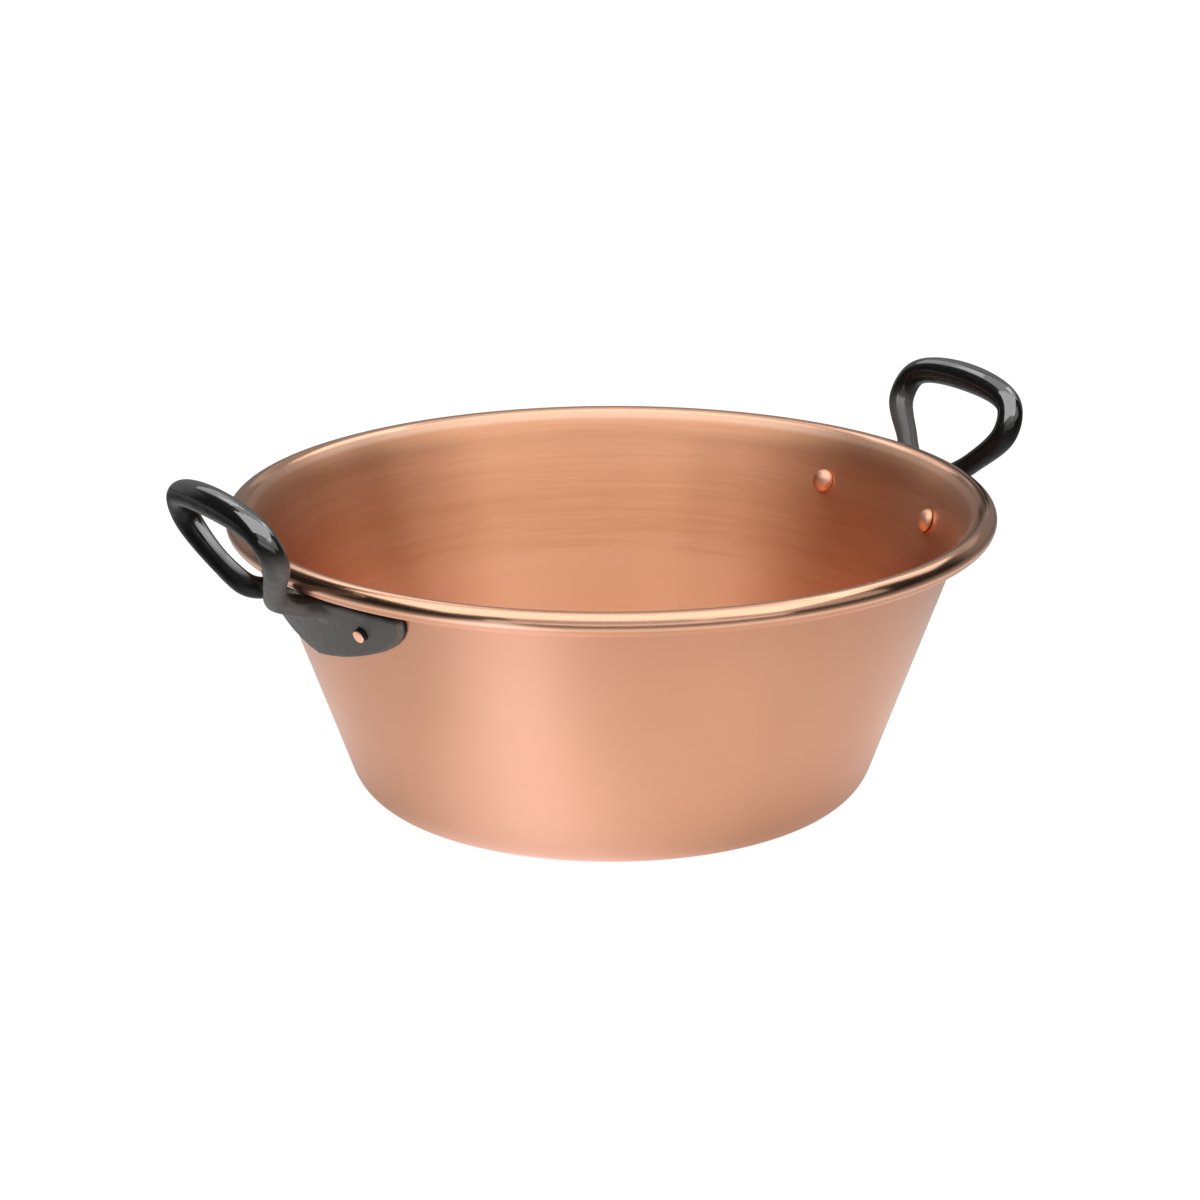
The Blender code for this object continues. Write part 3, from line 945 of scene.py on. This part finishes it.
def loop_stations():
    """Points of the loop's middle line with their diameters, from one root to the other."""
    root_x = wall_radius(ROOT_LEVEL) + STRAP_OFFSET - LOOP_ROOT_INSET
    root = Vector((root_x, LOOP_ROOT_SPREAD, ROOT_LEVEL))
    elbow = loop_plane_point(LOOP_ELBOW_SPREAD, LOOP_ELBOW_HEIGHT)
    elbow.x -= LOOP_ELBOW_INSET
    neck = root.lerp(elbow, 0.5)
    neck.z = root.z
    half = [
        (root, ROOT_DIAMETER),
        (neck, NECK_DIAMETER),
        (elbow, NECK_DIAMETER),
        (loop_plane_point(LOOP_LEG_SPREAD, LOOP_LEG_HEIGHT), LEG_DIAMETER),
        (loop_plane_point(LOOP_WIDEST_SPREAD, LOOP_WIDEST_HEIGHT), CORNER_DIAMETER),
        (loop_plane_point(LOOP_CORNER_SPREAD, LOOP_CORNER_HEIGHT), CORNER_DIAMETER),
    ]
    top = (loop_plane_point(0, LOOP_HEIGHT), GRIP_DIAMETER)
    other = [(Vector((p.x, -p.y, p.z)), d) for p, d in reversed(half)]
    return half + [top] + other


def smooth_path(stations, steps):
    """A centripetal Catmull-Rom curve through the stations, with the diameters carried along."""
    rows = [Vector((*p, d)) for p, d in stations]
    rows = [2 * rows[0] - rows[1]] + rows + [2 * rows[-1] - rows[-2]]
    path = []
    for a, b, c, d in zip(rows, rows[1:], rows[2:], rows[3:]):
        knots = [0.0]
        for p, q in ((a, b), (b, c), (c, d)):
            knots.append(knots[-1] + math.sqrt((q - p).length))
        t0, t1, t2, t3 = knots
        for i in range(steps):
            t = t1 + (t2 - t1) * i / steps
            ab = a.lerp(b, (t - t0) / (t1 - t0))
            bc = b.lerp(c, (t - t1) / (t2 - t1))
            cd = c.lerp(d, (t - t2) / (t3 - t2))
            abc = ab.lerp(bc, (t - t0) / (t2 - t0))
            bcd = bc.lerp(cd, (t - t1) / (t3 - t1))
            path.append(abc.lerp(bcd, (t - t1) / (t2 - t1)))
    return path + [rows[-2]]


def loop_bar(iron):
    """The loop as a solid bar that swells towards the grip, cut off level with the strap's back."""
    path = smooth_path(loop_stations(), LOOP_POINTS_PER_SPAN)
    mesh = line_mesh("loop_path", [row[:3] for row in path])
    thick = mesh.attributes.new("thick", "FLOAT", "POINT")
    thick.data.foreach_set("value", [row[3] for row in path])
    bar = facing_out(grown("loop", mesh, bar_group(), sides=LOOP_SIDES, material=iron))
    return cut(bar, wall_cone(), "DIFFERENCE")


def wall_cone():
    """The room that the pan's wall takes up, a seat's gap wider, for cutting the loop's roots."""
    work = bmesh.new()
    low, high = STRAP_TOP - STRAP_DEPTH, PAN_HEIGHT
    gap = SEAT_GAP / math.cos(WALL_ANGLE)
    bmesh.ops.create_cone(
        work,
        cap_ends=True,
        segments=PAN_STEPS,
        radius1=wall_radius(low) + gap,
        radius2=wall_radius(high) + gap,
        depth=high - low,
        matrix=Matrix.Translation((0, 0, (low + high) / 2)),
    )
    return mesh_from(work, "wall_cone")


def rounded_casting(mesh):
    """Rounds the casting all over, more at the strap's edges and most at the loop's feet."""
    thing = linked("rounding", mesh)
    stations = loop_stations()
    foot_places = [place for place, _ in stations[:2] + stations[-2:]]
    feet = thing.vertex_groups.new(name="feet")
    strap = thing.vertex_groups.new(name="strap")
    for vertex in mesh.vertices:
        reach = min((vertex.co - place).length for place in foot_places)
        beyond = vertex.co.xy.length - wall_radius(vertex.co.z)
        for group, away, (limit, fade) in ((feet, reach, FEET_ROUNDED), (strap, beyond, STRAP_ROUNDED)):
            share = (limit - away) / fade
            if share > 0:
                group.add([vertex.index], min(share, 1), "REPLACE")
    for group, times in ROUNDS:
        rounding = thing.modifiers.new("Rounding", "SMOOTH")
        rounding.factor = ROUND_FACTOR
        rounding.iterations = times
        rounding.vertex_group = group
    return baked(thing)


def casting(iron):
    """One handle at +X: strap and loop in one skin."""
    work = bmesh.new()
    work.from_mesh(strap_plate())
    work.from_mesh(loop_bar(iron))
    both = mesh_from(work, "handle")
    skin = with_modifier(both, "REMESH", mode="VOXEL", voxel_size=CASTING_VOXEL)
    return rounded_casting(skin)


def make_handles(holes):
    """Both castings, the left one turned by half a turn."""
    iron = black_iron()
    made = cut(facing_out(casting(iron)), holes.copy(), "DIFFERENCE")
    smooth(made, degrees=60)
    for side, turn in (("right", 0), ("left", math.pi)):
        mesh = made.copy()
        mesh.transform(Matrix.Rotation(turn, 4, "Z"))
        finished(f"casting_{side}", mesh, iron, "black_iron", f"handle_{side}")


def add_camera():
    """The camera where the photograph was taken from, in the pan's own frame."""
    camera = linked("camera", bpy.data.cameras.new("camera"))
    bpy.context.scene.camera = camera
    camera.data.sensor_width = SENSOR_MM
    camera.data.lens = LENS_MM
    camera.data.clip_end = VIEW_REACH
    level = VIEW_DISTANCE * math.cos(VIEW_ELEVATION)
    rise = VIEW_DISTANCE * math.sin(VIEW_ELEVATION)
    forward = Vector((0, math.cos(VIEW_ELEVATION), -math.sin(VIEW_ELEVATION)))
    forward.rotate(Matrix.Rotation(VIEW_YAW, 3, "Z"))
    right = forward.cross(Vector((0, 0, 1))).normalized()
    up = right.cross(forward)
    cosine, sine = math.cos(VIEW_ROLL), math.sin(VIEW_ROLL)
    tilted_up = cosine * up + sine * right
    tilted_right = cosine * right - sine * up
    frame_axes = Matrix((tilted_right, tilted_up, -forward)).transposed().to_4x4()
    frame_axes.translation = (0, -level, VIEW_TARGET_HEIGHT + rise)
    camera.matrix_world = Matrix.Rotation(-VIEW_TURN, 4, "Z") @ frame_axes


def soft_box(name, azimuth, elevation, distance, width, height, brightness):
    """A soft box that faces the pan. Azimuth is from the camera's side, positive to its right."""
    light = bpy.data.lights.new(name, "AREA")
    light.shape = "RECTANGLE"
    light.size = width
    light.size_y = height
    light.energy = brightness * math.pi * width * height
    lamp = linked(name, light)
    around = math.radians(azimuth) - VIEW_TURN
    rise = math.radians(elevation)
    aside = Vector((math.sin(around), -math.cos(around), 0)) * math.cos(rise)
    direction = aside + Vector((0, 0, math.sin(rise)))
    lamp.location = Vector((0, 0, LIGHT_TARGET_HEIGHT)) + direction * distance
    lamp.rotation_euler = direction.to_track_quat("Z", "Y").to_euler()
    lamp.visible_camera = False


def lit_table(pale, ahead):
    """Brightness of the table round the pan: dim under it, and less with the distance."""
    under = 1 - pale.step(pale.radius, FOOT_RADIUS, RIM_RADIUS)
    near_fade = NEAR_FADE - NEAR_FADE_LESS * pale.step(ahead, *NEAR_FADE_AHEAD)
    far_fade = FAR_FADE + FAR_FADE_MORE * pale.step(ahead, *FAR_FADE_AHEAD)
    lit = TABLE_GLOW * (1 - UNDER_SHADE * under)
    lit = lit * (1 - near_fade * pale.step(pale.radius, *NEAR_FADE_REACH))
    return lit * (1 - far_fade * pale.step(pale.radius, *FAR_FADE_REACH))


def bright_patch(pale, aside, ahead):
    """Share of the brighter patch. Aside is to the camera's right, and ahead is towards it."""
    beam = (aside + PATCH_ASIDE) * math.cos(PATCH_TURN) + (ahead - PATCH_AHEAD) * math.sin(PATCH_TURN)
    beam = beam / (PATCH_OPENING + ahead)
    patch = pale.step(beam, *PATCH_NEAR_EDGE) * (1 - pale.step(beam, *PATCH_FAR_EDGE))
    return patch * pale.step(ahead, *PATCH_START)


def add_floor():
    """A wide pale floor that keeps a soft shadow, with the table's lit part round the pan."""
    work = bmesh.new()
    bmesh.ops.create_grid(work, x_segments=1, y_segments=1, size=FLOOR_HALF_SIZE)
    mesh = mesh_from(work, "floor")
    floor = linked("floor", mesh)
    pale = Finish("pale_floor")
    pale.done({"Base Color": rgba(FLOOR), "Roughness": 1.0, "Specular IOR Level": 0.0})
    aside = pale.x * math.cos(VIEW_TURN) - pale.y * math.sin(VIEW_TURN)
    ahead = pale.x * -math.sin(VIEW_TURN) - pale.y * math.cos(VIEW_TURN)
    patch = bright_patch(pale, aside, ahead)
    seen, mirrored = pale.ray_kinds()
    white = FLOOR_GLOW + FAR_FLOOR_GLOW * pale.step(pale.radius, *FAR_FLOOR_REACH)
    glow = seen * white + mirrored * (lit_table(pale, ahead) + patch * PATCH_GLOW)
    tint = pale.between(patch * mirrored, WHITE, COOL)
    light = pale.node("ShaderNodeEmission", {}, {"Color": tint, "Strength": glow})
    share = pale.greater(seen, mirrored) * FLOOR_GLOW_SHARE
    body = Wire(pale, pale.shader.outputs[0])
    mixed = pale.node("ShaderNodeMixShader", {}, {0: share, 1: body, 2: light})
    pale.fill(pale.tree.nodes["Material Output"], {"Surface": mixed})
    mesh.materials.append(pale.material)


def add_world():
    """A dim studio with a pale sweep behind the pan, which the camera sees as plain white."""
    world = bpy.data.worlds.new("studio")
    bpy.context.scene.world = world
    world.use_nodes = True
    tree = Tree(world.node_tree)
    x, y, z = tree.split(tree.node("ShaderNodeTexCoord", output="Object"))
    behind = x * math.sin(VIEW_TURN) + y * math.cos(VIEW_TURN)
    sweep = SWEEP_GLOW * tree.step(behind, *SWEEP_BEHIND) * (1 - tree.step(z, *SWEEP_TOP))
    seen, mirrored = tree.ray_kinds()
    strength = ROOM_LIGHT + tree.greater(seen, mirrored * sweep) * (1 - ROOM_LIGHT)
    tree.fill(tree.tree.nodes["Background"], {"Color": rgba(WHITE), "Strength": strength})


turning = turned_group()
holes = rivet_holes()
make_pan(turning, holes)
make_handles(holes)
make_rivets(turning)

add_camera()
add_floor()
add_world()
for box in SOFT_BOXES:
    soft_box(*box)
bpy.context.scene.view_settings.view_transform = "Standard"
